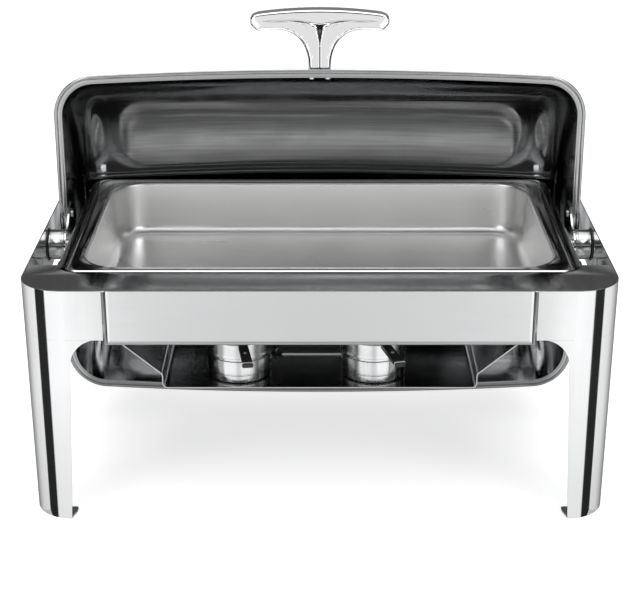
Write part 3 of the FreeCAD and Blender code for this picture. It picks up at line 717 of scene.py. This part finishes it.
def leg_point(place, z, inset):
    """A point of the folded leg: place runs along the front, corner and side."""
    kind, value = place
    lean = LEG_LEAN * (1 - z / TOP)
    x_out = HALF_WIDTH - lean - inset
    y_out = HALF_DEPTH - lean - inset
    corner = FOOT_CORNER + (TOP_CORNER - FOOT_CORNER) * z / TOP - inset
    if kind == "front":
        start = x_out - corner
        if value <= start:
            return (value, -y_out, z)
        a = math.asin(min(1.0, (value - start) / corner))
    elif kind == "side":
        start = y_out - corner
        if value <= start:
            return (x_out, -value, z)
        a = math.pi / 2 - math.asin(min(1.0, (value - start) / corner))
    else:
        a = math.radians(value)
    return (x_out - corner + corner * math.sin(a),
            -(y_out - corner) - corner * math.cos(a), z)


def leg_skin(inset):
    """Rows of a front right leg's face, set in from the outside."""
    rows = []
    for x_front, z_front, y_side, z_side in leg_borders():
        places = [("front", x) for x in spread(x_front, 268.5, 18)]
        places += [("corner", a) for a in spread(12.0, 78.0, 20)]
        places += [("side", y) for y in spread(174.5, y_side, 18)]
        row = []
        for i, place in enumerate(places):
            z = z_front + (z_side - z_front) * i / (len(places) - 1)
            row.append(leg_point(place, z, inset))
        rows.append(row)
    return rows


def legs():
    leg = Shape()
    leg.two_skins(leg_skin(0.0), leg_skin(SHEET))
    back = mirrored(leg, 1)
    for name, shape in (("front_right_leg", leg), ("front_left_leg", mirrored(leg, 0)),
                        ("back_right_leg", back),
                        ("back_left_leg", mirrored(back, 0))):
        shape.make(name + "_sheet", "stand", [MIRROR], [name], "polished_steel",
                   bevel=0.3)


def swept(path, section):
    """Rows of a section of (outward, z) points carried along a plan path."""
    rows = []
    for i, (x, y) in enumerate(path):
        before = Vector(path[max(i - 1, 0)])
        after = Vector(path[min(i + 1, len(path) - 1)])
        along = (after - before).normalized()
        rows.append([(x + along.y * w, y - along.x * w, z) for w, z in section])
    return rows


# The seat is the recess that holds the food pan's flange.
SEAT_X, SEAT_Y, SEAT_CORNER, SEAT_Z = 266.5, 164.0, 14.0, 257.0
WELL_X, WELL_Y, WELL_CORNER = 258.0, 155.5, 42.8
WELL_FLOOR = 181.2


def water_pan():
    """Deck with a seat recess, its turned down lip, and the well under the food pan."""
    shape = Shape()
    side, back, corner = 276.0, 176.0, 22.0     # deck edges beside and behind the lid
    bend, lip_end = 2.2, TOP - 14.0
    edge = side - bend
    slot, wall_start = -135.0, -123.0           # front ends of the lid's slot, the lip
    front_x, front_y = HALF_WIDTH - SHEET, HALF_DEPTH - SHEET
    front_corner = TOP_CORNER - SHEET
    rear_corner = arc(side - corner, back - corner, corner - bend, 0, 90, 12)
    outline = arc(front_x - front_corner, front_corner - front_y, front_corner,
                  -90, 0, 16)
    outline += [(front_x, slot), (edge, slot)] + rear_corner
    outline += [(-x, y) for x, y in outline[::-1]]
    hole = [(x, y) for x, y, z in box_ring(SEAT_X, SEAT_Y, SEAT_CORNER, 0, side_steps=1)]
    deck_plate("deck_top", outline, hole, shape)
    lip = [(edge, wall_start)] + rear_corner
    lip += [(x, back - bend) for x in spread(250.0, -250.0, 20)]
    lip += [(-x, y) for x, y in rear_corner[::-1]] + [(-edge, wall_start)]
    section = [(0.0, TOP)] + arc(0.0, TOP - bend, bend, 80, 0, 6) + [(bend, lip_end)]
    inside = [(0.0, TOP - SHEET)] + arc(0.0, TOP - bend, bend - SHEET, 80, 0, 6)
    inside += [(bend - SHEET, lip_end)]
    shape.two_skins(swept(lip, section), swept(lip, inside))
    for sign in (1, -1):
        path = [(sign * edge, slot), (sign * edge, wall_start)][::sign]
        shape.two_skins(swept(path, [(0.0, TOP), (bend, TOP)]),
                        swept(path, [(0.0, TOP - SHEET), (bend, TOP - SHEET)]))
    inner, outer = ([box_ring(*level) for level in pan_levels(grow)]
                    for grow in (0.0, SHEET))
    shape.grid(inner, closed=True, flip=True)
    shape.grid(outer, closed=True)
    shape.grid([inner[0], outer[0]], closed=True)
    shape.cap(inner[-1])
    shape.cap(outer[-1], flip=True)
    return shape.make("water_pan_and_deck", "stand", [DECK], ["water_pan"],
                      "polished_steel", sharp=40.0)


def pan_levels(grow):
    """Half sizes, corner radius and height of each ring of the seat and well.

    The inside has grow 0; the outside has the sheet's thickness.
    """
    seat = SEAT_Z - grow
    seat_bend, well_bend, cove = 1.0, 1.6, 18.8 + grow
    levels = [(SEAT_X + grow, SEAT_Y + grow, SEAT_CORNER + grow, z)
              for z in (TOP - grow, seat + seat_bend)]
    for a in radians_over(30, 91, 30):
        back = seat_bend * (1 - math.cos(a))
        levels.append((SEAT_X + grow - back, SEAT_Y + grow - back, SEAT_CORNER + grow,
                       seat + seat_bend * (1 - math.sin(a))))
    levels.append((WELL_X + well_bend + grow, WELL_Y + well_bend + grow, 40.0 + grow,
                   seat))
    for a in radians_over(30, 91, 30):
        out = well_bend * (1 - math.sin(a))
        levels.append((WELL_X + grow + out, WELL_Y + grow + out, WELL_CORNER + grow,
                       seat - well_bend + well_bend * math.cos(a)))
    for z in (240.0, 220.0, 205.0):
        lean = 4.0 * (SEAT_Z - z) / 76.0
        levels.append((WELL_X + grow - lean, WELL_Y + grow - lean,
                       WELL_CORNER + grow - lean, z))
    low_x, low_y, low_corner = WELL_X - 3.8, WELL_Y - 3.8, WELL_CORNER - 4.0
    for a in radians_over(0, 91, 10):
        back = cove * (1 - math.cos(a))
        levels.append((low_x + grow - back, low_y + grow - back,
                       max(low_corner + grow - back, 6.0),
                       WELL_FLOOR - grow + cove * (1 - math.sin(a))))
    return levels


def deck_plate(name, outline, hole, shape):
    """A flat sheet with a hole, its edges eased, added to a shape."""
    curve = bpy.data.curves.new(name, "CURVE")
    curve.dimensions = "2D"
    curve.fill_mode = "BOTH"
    ease = 0.3
    curve.extrude = (SHEET / 2 - ease) * MM
    curve.bevel_depth = ease * MM
    curve.bevel_resolution = 2
    curve.offset = -ease * MM
    for loop in (outline, hole):
        spline = curve.splines.new("POLY")
        spline.points.add(len(loop) - 1)
        for point, (x, y) in zip(spline.points, loop):
            point.co = (x * MM, y * MM, 0, 1)
        spline.use_cyclic_u = True
    holder = bpy.data.objects.new(name, curve)
    bpy.context.scene.collection.objects.link(holder)
    bpy.context.view_layer.update()
    flat = bpy.data.meshes.new_from_object(holder)
    first = len(shape.points)
    shape.points += [vert.co / MM + Vector((0, 0, TOP - SHEET / 2))
                     for vert in flat.vertices]
    for poly in flat.polygons:
        shape.face(tuple(first + i for i in poly.vertices))
    bpy.data.objects.remove(holder)
    bpy.data.meshes.remove(flat)


# ---------------------------------------------------------------- food pan

FLANGE_RINGS = 11            # rings from the rim inwards that are polished


def food_levels(grow):
    """Half sizes, corner radius and height of each ring of the food pan.

    The inside has grow 0; the outside has the sheet's thickness.
    """
    half_x, half_y, top = 265.0, 162.5, 260.4
    well_x, well_y, corner, depth = 249.0, 149.0, 42.0, 62.0
    draft, bend, lip, cove = 6.0, 2.2, 3.6, 12.0
    rim_corner, rim_low, step_down = 13.0, 257.3, 0.45
    roll, face = bend - grow, top - grow
    edge_x, edge_y = half_x - grow, half_y - grow
    levels = [(edge_x, edge_y, rim_corner - grow, rim_low)]
    for a in radians_over(0, 91, 18):
        back = roll * (1 - math.cos(a))
        levels.append((edge_x - back, edge_y - back, rim_corner - grow - back * 0.5,
                       top - bend + roll * math.sin(a)))
    levels.append((half_x - 5.0, half_y - 5.0, 15.0, face))
    levels.append((half_x - 7.5, half_y - 6.6, 22.0, face - step_down))
    levels.append((well_x + 4.4 + grow, well_y + 4.2 + grow, corner + 1.0,
                   face - step_down))
    for a in radians_over(0, 91, 15):
        out = lip * (1 - math.sin(a))
        levels.append((well_x + grow + out, well_y + grow + out, corner + grow + out * 0.4,
                       face - lip + lip * math.cos(a)))
    for z in (248.0, 238.0, 226.0, 216.0):
        lean = draft * (top - z) / depth
        levels.append((well_x + grow - lean, well_y + grow - lean, corner + grow - lean,
                       z))
    floor = top - depth + 1.0 - grow
    lean = draft * (depth - cove) / depth
    for a in radians_over(0, 91, 9):
        back = (cove + grow) * (1 - math.cos(a))
        levels.append((well_x + grow - lean - back, well_y + grow - lean - back,
                       corner + grow - lean - back,
                       floor + (cove + grow) * (1 - math.sin(a))))
    return levels


def food_pan():
    """Satin inside and out, with a polished flange (material 1)."""
    shape = Shape()
    inside, outside = ([box_ring(*level, side_steps=22) for level in food_levels(grow)]
                       for grow in (0.0, 1.0))
    shape.grid(inside[:FLANGE_RINGS + 1], closed=True, number=1)
    shape.grid(inside[FLANGE_RINGS:], closed=True)
    shape.grid(outside, closed=True, flip=True)
    shape.grid([inside[0], outside[0]], closed=True, flip=True, number=1)
    shape.cap(inside[-1])
    shape.cap(outside[-1], flip=True)
    return shape.make("food_pan_shell", "food_pan", [SATIN, PAN_RIM], ["food_pan"],
                      "satin_steel", sharp=45.0)


# ---------------------------------------------------------------- hinge and burners

def hinge_bosses():
    """The drums beside the lid, from (radius, distance from the middle) pairs."""
    profile = [(3.4, 288.1), (15.6, 288.1), (16.6, 288.3), (17.0, 288.9), (17.0, 290.2),
               (16.4, 290.5), (16.4, 291.1), (17.0, 291.4), (17.0, 304.2), (16.6, 305.3),
               (15.6, 305.8), (3.4, 305.8), (3.4, 288.1)]
    for name, side in (("hinge_boss_right", 1), ("hinge_boss_left", -1)):
        drum = Shape()
        rows = turned([(r, side * x) for r, x in profile], (0.0, PIVOT_Z), "x")
        drum.grid(rows, closed=True)
        drum.make(name + "_drum", "lid", [BRIGHT], [name], "polished_steel", sharp=40.0)


BURNER_Y = -66.0
COVER_TOP = 156.0


def burner(side, x):
    """The cup with two turned grooves, and the cover with its flame hole."""
    radius, floor = 35.9, 109.4
    outside = [(0.01, floor), (30.5, floor), (31.5, 108.2), (32.9, 108.2)]
    outside += arc(radius - 3.0, 111.2, 3.0, -72, 0, 5)
    outside += [(radius, 117.0), (radius - 0.7, 117.6), (radius - 0.7, 118.4),
                (radius, 119.0)]
    outside += [(radius, 133.6), (radius - 0.3, 134.1), (radius - 1.0, 134.4),
                (radius - 1.1, 135.0), (radius - 1.1, 139.0), (radius, 140.0)]
    outside += [(radius, 151.2), (radius - 0.3, 151.9), (radius - 0.7, 151.9)]
    inside = [(radius - 1.6, 151.2), (radius - 1.6, 112.2), (radius - 2.6, 110.0),
              (radius - 4.6, floor + 0.5), (0.01, floor + 0.5)]
    cup = Shape()
    cup.grid(turned(outside + inside, (x, BURNER_Y)), closed=True)
    cup.make("burner_cup_" + side, "burner_" + side, [BURNER], ["burner_" + side],
             "polished_steel", sharp=40.0)
    top, wide, hole, skirt = COVER_TOP, 37.2, 18.0, 137.8
    bead = [(wide - 0.9, skirt + 0.1), (wide - 0.2, skirt), (wide + 0.3, skirt + 0.4),
            (wide + 0.4, skirt + 1.0), (wide, skirt + 1.8)]
    wall = [(wide, 142.0), (wide, 148.0), (wide, 152.5)]
    shoulder = arc(wide - 3.0, top - 3.0, 3.0, 18, 90, 5)
    ledge = [(29.0, top), (27.5, top - 0.7), (26.5, top - 0.8), (21.5, top - 0.8),
             (20.2, top - 0.4)]
    lip = arc(hole + 1.0, top - 0.9, 1.0, 70, 180, 6)
    under = [(hole + 0.3, top - 1.5), (21.0, top - 1.6), (27.0, top - 1.7),
             (wide - 4.2, top - 1.2), (wide - 1.7, top - 2.6), (wide - 0.95, top - 4.5),
             bead[0]]
    cover = Shape()
    cover.grid(turned(bead + wall + shoulder + ledge + lip + under, (x, BURNER_Y)),
               closed=True)
    cover.make("burner_lid_" + side, "cover_" + side, [BURNER], ["burner_cover_" + side],
               "polished_steel", sharp=40.0)


def rounded_bar(half, y0, y1, z0, z1, round_off, taper=0.0, ends=1.2, lengths=14):
    """Rows of a bar along Y with rounded corners and eased ends."""
    rows = []
    places = [(y0, 1.0), (y0 + ends * 0.3, 0.45), (y0 + ends, 0.0)]
    places += [(y, 0.0) for y in spread(y0 + ends, y1 - ends, lengths)[1:-1]]
    places += [(y1 - ends, 0.0), (y1 - ends * 0.3, 0.45), (y1, 1.0)]
    for y, pull in places:
        inset = ends * 0.55 * pull
        share = (y - y0) / (y1 - y0)
        wide = half - inset + taper * (share - 0.5)
        low, high = z0 + inset, z1 - inset
        r = max(round_off - inset * 0.5, 0.3)
        row = []
        for sx, cz, start in ((1, high, 0), (-1, high, 90), (-1, low, 180), (1, low, 270)):
            cx = sx * (wide - r)
            mid = cz - r if cz == high else cz + r
            row += [(px, y, pz) for px, pz in arc(cx, mid, r, start, start + 90, 4)]
        rows.append(row)
    return rows


def bar_shape(rows):
    """A bar's rows as a closed shape."""
    shape = Shape()
    shape.grid(rows, closed=True)
    shape.cap(rows[0])
    shape.cap(rows[-1], flip=True)
    return shape


def burner_handle(side, x, angle):
    """Steel strip, black grip and rivet, along -Y before they turn by the angle."""
    turn = Matrix.Rotation(math.radians(angle), 4, "Z")
    aim = Matrix.Translation((x, BURNER_Y, 0)) @ turn
    body = "cover_" + side
    top = COVER_TOP
    strip_end, band_end, grip_start, grip_end = 97.4, 99.0, 44.0, 101.0
    tang = bar_shape(rounded_bar(4.5, -strip_end, -24.0, top, top + 1.2, 0.4, ends=0.4))
    tang.add(bar_shape(rounded_bar(6.2, -band_end, -strip_end, top - 0.4, top + 5.2, 1.4,
                                   ends=0.3, lengths=3)))
    tang.place(aim).make("cover_strip_" + side, body, [BRIGHT], ["cover_tang_" + side],
                         "fastener_steel", sharp=45.0)
    grip = bar_shape(rounded_bar(5.5, -strip_end, -grip_start, top + 1.25, top + 4.6, 1.5,
                                 taper=-0.8))
    grip.add(bar_shape(rounded_bar(5.2, -strip_end, -grip_start, top - 0.8, top - 0.05,
                                   0.35)))
    grip.add(bar_shape(rounded_bar(6.0, -grip_end, -band_end, top - 0.8, top + 4.3, 1.6,
                                   ends=0.8, lengths=4)))
    grip.place(aim).make("cover_handle_" + side, body, [PLASTIC],
                         ["cover_grip_" + side], "black_plastic", sharp=45.0)
    rivet = Shape()
    dome = [(0.01, top + 5.8), (1.2, top + 5.7), (2.0, top + 5.3), (2.4, top + 4.7),
            (2.4, top + 4.4), (0.01, top + 4.4)]
    rivet.grid(turned(dome, (0.0, -72.0), steps=24), closed=True)
    rivet.place(aim).make("cover_rivet_" + side, body, [BRIGHT],
                          ["grip_rivet_" + side], "fastener_steel", sharp=50.0)


# ---------------------------------------------------------------- carried CAD pieces

def finish_cad_pieces():
    """Materials for the CAD pieces whose plain shapes are already right."""
    looks = {"left_side_panel": MIRROR, "right_side_panel": MIRROR,
             "front_panel": PANEL, "foot_plates": MIRROR, "fuel_tray": TRAY,
             "tray_studs": FASTENER, "tray_nuts": FASTENER, "pivot_bolts": FASTENER,
             "pivot_nuts": FASTENER, "spring_washers": FASTENER,
             "ear_rivets": FASTENER, "handle_screws": FASTENER,
             "pivot_washers": NYLON, "lid_ear_left": MIRROR, "lid_ear_right": MIRROR}
    for name, mat in looks.items():
        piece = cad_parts[name]
        piece.data.materials.clear()
        piece.data.materials.append(mat)


# ---------------------------------------------------------------- studio

def glowing(name, colour, strength):
    """A dull material with a white glow of its own."""
    mat, tree, shader = blank_material(name)
    shader.inputs["Base Color"].default_value = (*colour, 1)
    shader.inputs["Roughness"].default_value = 1.0
    shader.inputs["Specular IOR Level"].default_value = 0.0
    shader.inputs["Emission Color"].default_value = (1, 1, 1, 1)
    shader.inputs["Emission Strength"].default_value = strength
    return mat


def studio_object(name, points, faces, mat):
    """A mesh of the studio, with its points in metres."""
    mesh = bpy.data.meshes.new(name)
    mesh.from_pydata(points, [], faces)
    mesh.materials.append(mat)
    obj = bpy.data.objects.new(name, mesh)
    bpy.context.scene.collection.objects.link(obj)
    return obj


def only_mirrored(obj):
    """Seen by the steel as a reflection and by nothing else."""
    obj.visible_camera = False
    obj.visible_diffuse = False
    obj.visible_transmission = False
    obj.visible_shadow = False


def studio_floor():
    """A pale sweep: a flat floor that turns up far behind the object."""
    reach, rise = 9000.0, 3000.0
    profile = [(0.01, 0.0), (900.0, 0.0), (4000.0, 0.0), (reach, 0.0)]
    profile += [(reach + rise * math.sin(a), rise * (1 - math.cos(a)))
                for a in radians_over(10, 91, 10)]
    profile += [(reach + rise, 9000.0)]
    shape = Shape()
    shape.grid(turned(profile, (0.0, 0.0), steps=96), closed=True)
    floor = studio_object("studio_floor", [p * MM for p in shape.points], shape.faces,
                          glowing("pale_floor", (0.80, 0.80, 0.805), 0.62))
    for poly in floor.data.polygons:
        poly.use_smooth = True
    floor.location.z = -0.0002
    # The steel mirrors the studio's walls and soft boxes, not this sweep.
    floor.visible_glossy = False
    floor.visible_diffuse = False
    floor.visible_transmission = False
    floor.visible_shadow = False


def floor_shade():
    """What the steel mirrors of the floor right under the object: its shaded part."""
    half_x, half_y = 0.300, 0.205
    corners = [(-half_x, -half_y, 0), (half_x, -half_y, 0), (half_x, half_y, 0),
               (-half_x, half_y, 0)]
    shade = studio_object("floor_shade", corners, [(0, 1, 2, 3)],
                          glowing("shaded_floor", (0.50, 0.50, 0.50), 0.22))
    only_mirrored(shade)


def side_cards():
    """Cards beside the burners that glow, seen only as reflections in them: painted
    reflections of a lit floor on the burners' sides.
    """
    mat = glowing("glowing_reflection_card", (0, 0, 0), 0.55)
    front, back, low, high = -0.205, -0.03, 0.004, 0.17
    for name, x in (("left_card", -0.252), ("right_card", 0.252)):
        corners = [(x, front, low), (x, back, low), (x, back, high), (x, front, high)]
        card = studio_object(name, corners, [(0, 1, 2, 3)], mat)
        only_mirrored(card)


def grey_ramp(tree, value, stops):
    """Grey levels at the given values, and straight lines between them."""
    node = tree.nodes.new("ShaderNodeValToRGB")
    node.color_ramp.interpolation = "LINEAR"
    band = node.color_ramp.elements
    while len(band) < len(stops):
        band.new(0.5)
    for element, (at, level) in zip(band, stops):
        element.position = at
        element.color = (level, level, level, 1)
    tree.links.new(value, node.inputs["Fac"])
    return node.outputs["Color"]


def studio_world():
    """A white tent with two black flags, a dimmer back and a bright ceiling."""
    world = bpy.data.worlds.new("studio")
    bpy.context.scene.world = world
    world.use_nodes = True
    tree = world.node_tree
    tree.nodes.clear()
    out = tree.nodes.new("ShaderNodeOutputWorld")
    light = tree.nodes.new("ShaderNodeBackground")
    x, y, z = place_parts(tree, "Generated")
    turn = maths(tree, "ARCTAN2", maths(tree, "ABSOLUTE", x),
                 maths(tree, "MULTIPLY", y, -1.0))
    # Brightness of the walls by degrees away from the front, alike on both sides.
    degrees = ((0, 0.90), (5, 0.94), (8, 1.02), (9.5, 1.42), (52, 1.36), (55, 0.03),
               (82, 0.03), (84, 1.20), (110, 1.05), (135, 0.5), (150, 0.27), (180, 0.25))
    walls = grey_ramp(tree, maths(tree, "DIVIDE", turn, math.pi),
                      [(at / 180, level) for at, level in degrees])
    low = grey_ramp(tree, maths(tree, "MULTIPLY", z, -1.0),
                    [(0.0, 1.05), (0.20, 1.05), (0.38, 1.0), (0.42, 1.0), (0.47, 0.84),
                     (0.72, 0.5)])
    # Above the walls comes a dark band, then the bright ceiling.
    height = maths(tree, "ADD", maths(tree, "MULTIPLY", z, 0.5), 0.5)
    over = grey_ramp(tree, height, [(0.0, 0.0), (0.62, 0.08), (0.86, 0.10), (0.92, 1.5),
                                    (1.0, 1.5)])
    above = grey_ramp(tree, height, [(0.0, 0.0), (0.58, 0.0), (0.64, 1.0), (1.0, 1.0)])
    dimmed = mixed(tree, 1.0, walls, low, "MULTIPLY")
    feed(tree, light.inputs["Color"], mixed(tree, above, dimmed, over))
    light.inputs["Strength"].default_value = 1.0
    tree.links.new(light.outputs["Background"], out.inputs["Surface"])


def soft_box(name, spot, target, size, power):
    """A rectangular lamp, hidden from the camera, aimed at a point."""
    lamp = bpy.data.lights.new(name, "AREA")
    lamp.shape = "RECTANGLE"
    lamp.size, lamp.size_y = size
    lamp.energy = power
    box = bpy.data.objects.new(name, lamp)
    box.location = spot
    aim = Vector(target) - Vector(spot)
    box.rotation_euler = aim.to_track_quat("-Z", "Y").to_euler()
    box.visible_camera = False
    bpy.context.scene.collection.objects.link(box)


def camera():
    """The photograph's view, from straight in front and above."""
    photo_width, focal_pixels, sensor = 642.0, 1612.0, 36.0
    look_down = 21.3
    data = bpy.data.cameras.new("camera")
    data.sensor_width = sensor
    data.lens = focal_pixels / photo_width * sensor
    data.shift_x = 1.2 / photo_width
    data.clip_end = 100.0
    eye = bpy.data.objects.new("camera", data)
    eye.location = (0.0, -1.728, 0.837)
    eye.rotation_euler = (math.radians(90.0 - look_down), 0.0, 0.0)
    bpy.context.scene.collection.objects.link(eye)
    bpy.context.scene.camera = eye


lid_shell()
lid_handle()
legs()
water_pan()
food_pan()
hinge_bosses()
for burner_side, burner_x, handle_angle in (("left", -90.0, 8.0), ("right", 60.0, 14.5)):
    burner(burner_side, burner_x)
    burner_handle(burner_side, burner_x, handle_angle)
finish_cad_pieces()
studio_floor()
floor_shade()
side_cards()
studio_world()
soft_box("overhead_box", (0.0, -0.5, 2.3), (0.0, 0.0, 0.2), (2.4, 1.6), 12.0)
for side_name, side_x in (("left", -0.95), ("right", 0.95)):
    soft_box(side_name + "_box", (side_x, -1.15, 1.3), (0.0, 0.05, 0.25), (0.6, 0.6),
             5.0)
camera()
bpy.context.scene.view_settings.view_transform = "Standard"
bpy.context.view_layer.update()
